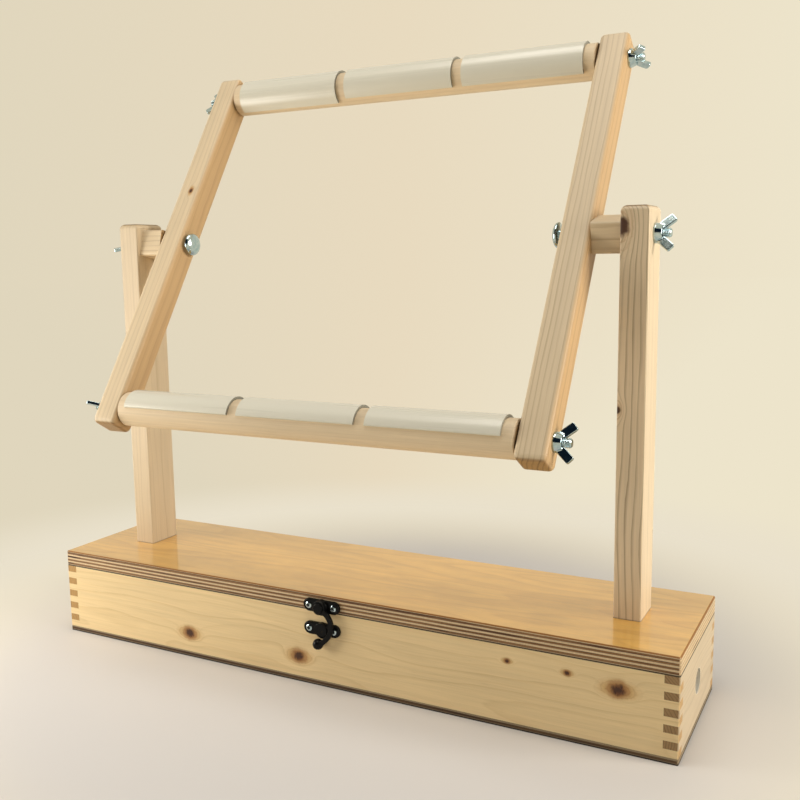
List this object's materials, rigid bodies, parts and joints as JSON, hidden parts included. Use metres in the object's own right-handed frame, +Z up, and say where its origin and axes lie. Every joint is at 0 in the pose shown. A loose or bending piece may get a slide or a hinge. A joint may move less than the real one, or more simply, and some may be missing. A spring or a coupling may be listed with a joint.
{
  "type": "loom",
  "caption": "Table-top needlework scroll frame: tilting wooden frame with clip-on fabric rollers between two posts on a finger-jointed storage box with a latched lid.",
  "frame": {"origin": "middle of the box's underside", "axes": "+X along the box to the right, +Y to the back where the hinges are, +Z up"},
  "size_m": [0.48, 0.1802, 0.4398],
  "materials": {
    "pine": "planed, thin clear varnish",
    "plywood": "glossy clear varnish",
    "dowel": "sanded, bare",
    "clip_plastic": "satin",
    "zinc": "bright zinc plate",
    "dark_bronze": "darkened bronze"
  },
  "bodies": {
    "box": {"box_front_panel": "pine", "box_back_panel": "pine", "box_left_panel": "pine", "box_right_panel": "pine", "box_bottom": "plywood", "latch_catch_plate": "dark_bronze", "latch_catch_screws": "zinc", "hinge_box_screws": "zinc", "left_hinge_box_leaf": "dark_bronze", "right_hinge_box_leaf": "dark_bronze", "left_hinge_pin": "dark_bronze", "right_hinge_pin": "dark_bronze"},
    "lid": {"lid_panel": "plywood", "latch_hook_plate": "dark_bronze", "latch_hook_screws": "zinc", "hinge_lid_screws": "zinc", "left_post": "pine", "left_post_stud": "zinc", "left_hinge_lid_leaf": "dark_bronze", "right_post": "pine", "right_post_stud": "zinc", "right_hinge_lid_leaf": "dark_bronze"},
    "latch_hook": {"latch_hook": "dark_bronze"},
    "scroll_frame": {"left_side_bar": "pine", "left_spacer_block": "pine", "left_pivot_bolt": "zinc", "right_side_bar": "pine", "right_spacer_block": "pine", "right_pivot_bolt": "zinc"},
    "lower_roller": {"lower_roller": "dowel", "lower_left_stud": "zinc", "lower_right_stud": "zinc"},
    "lower_left_clip": {"lower_left_clip": "clip_plastic"},
    "lower_middle_clip": {"lower_middle_clip": "clip_plastic"},
    "lower_right_clip": {"lower_right_clip": "clip_plastic"},
    "lower_left_wing_nut": {"lower_left_wing_nut": "zinc"},
    "lower_right_wing_nut": {"lower_right_wing_nut": "zinc"},
    "upper_roller": {"upper_roller": "dowel", "upper_left_stud": "zinc", "upper_right_stud": "zinc"},
    "upper_left_clip": {"upper_left_clip": "clip_plastic"},
    "upper_middle_clip": {"upper_middle_clip": "clip_plastic"},
    "upper_right_clip": {"upper_right_clip": "clip_plastic"},
    "upper_left_wing_nut": {"upper_left_wing_nut": "zinc"},
    "upper_right_wing_nut": {"upper_right_wing_nut": "zinc"},
    "left_pivot_wing_nut": {"left_pivot_wing_nut": "zinc"},
    "left_post_wing_nut": {"left_post_wing_nut": "zinc"},
    "right_pivot_wing_nut": {"right_pivot_wing_nut": "zinc"},
    "right_post_wing_nut": {"right_post_wing_nut": "zinc"}
  },
  "joints": [
    {"name": "lid_hinge", "type": "hinge", "parent": "box", "child": "lid", "pos_m": [0, 0.0585, 0.054], "axis": [-1, 0, 0], "range_deg": [0, 95]},
    {"name": "latch_swing", "type": "hinge", "parent": "lid", "child": "latch_hook", "pos_m": [0, -0.0597, 0.0584], "axis": [0, -1, 0], "range_deg": [0, 90]},
    {"name": "frame_tilt", "type": "hinge", "parent": "lid", "child": "scroll_frame", "pos_m": [0, 0.002, 0.3055], "axis": [1, 0, 0], "continuous": true},
    {"name": "lower_roller_turn", "type": "hinge", "parent": "scroll_frame", "child": "lower_roller", "pos_m": [0, -0.07268, 0.18827], "axis": [1, 0, 0], "continuous": true},
    {"name": "lower_left_clip_turn", "type": "hinge", "parent": "lower_roller", "child": "lower_left_clip", "pos_m": [0, -0.07268, 0.18827], "axis": [1, 0, 0], "continuous": true},
    {"name": "lower_middle_clip_turn", "type": "hinge", "parent": "lower_roller", "child": "lower_middle_clip", "pos_m": [0, -0.07268, 0.18827], "axis": [1, 0, 0], "continuous": true},
    {"name": "lower_right_clip_turn", "type": "hinge", "parent": "lower_roller", "child": "lower_right_clip", "pos_m": [0, -0.07268, 0.18827], "axis": [1, 0, 0], "continuous": true},
    {"name": "lower_left_wing_nut_turn", "type": "hinge", "parent": "lower_roller", "child": "lower_left_wing_nut", "pos_m": [0, -0.07268, 0.18827], "axis": [-1, 0, 0], "continuous": true},
    {"name": "lower_right_wing_nut_turn", "type": "hinge", "parent": "lower_roller", "child": "lower_right_wing_nut", "pos_m": [0, -0.07268, 0.18827], "axis": [1, 0, 0], "continuous": true},
    {"name": "upper_roller_turn", "type": "hinge", "parent": "scroll_frame", "child": "upper_roller", "pos_m": [0, 0.07669, 0.42273], "axis": [1, 0, 0], "continuous": true},
    {"name": "upper_left_clip_turn", "type": "hinge", "parent": "upper_roller", "child": "upper_left_clip", "pos_m": [0, 0.07669, 0.42273], "axis": [1, 0, 0], "continuous": true},
    {"name": "upper_middle_clip_turn", "type": "hinge", "parent": "upper_roller", "child": "upper_middle_clip", "pos_m": [0, 0.07669, 0.42273], "axis": [1, 0, 0], "continuous": true},
    {"name": "upper_right_clip_turn", "type": "hinge", "parent": "upper_roller", "child": "upper_right_clip", "pos_m": [0, 0.07669, 0.42273], "axis": [1, 0, 0], "continuous": true},
    {"name": "upper_left_wing_nut_turn", "type": "hinge", "parent": "upper_roller", "child": "upper_left_wing_nut", "pos_m": [0, 0.07669, 0.42273], "axis": [-1, 0, 0], "continuous": true},
    {"name": "upper_right_wing_nut_turn", "type": "hinge", "parent": "upper_roller", "child": "upper_right_wing_nut", "pos_m": [0, 0.07669, 0.42273], "axis": [1, 0, 0], "continuous": true},
    {"name": "left_pivot_wing_nut_turn", "type": "hinge", "parent": "scroll_frame", "child": "left_pivot_wing_nut", "pos_m": [0, 0.002, 0.3055], "axis": [-1, 0, 0], "continuous": true},
    {"name": "left_post_wing_nut_turn", "type": "hinge", "parent": "lid", "child": "left_post_wing_nut", "pos_m": [-0.19765, 0.002, 0.054], "axis": [0, 0, -1], "continuous": true},
    {"name": "right_pivot_wing_nut_turn", "type": "hinge", "parent": "scroll_frame", "child": "right_pivot_wing_nut", "pos_m": [0, 0.002, 0.3055], "axis": [1, 0, 0], "continuous": true},
    {"name": "right_post_wing_nut_turn", "type": "hinge", "parent": "lid", "child": "right_post_wing_nut", "pos_m": [0.19765, 0.002, 0.054], "axis": [0, 0, -1], "continuous": true}
  ]
}
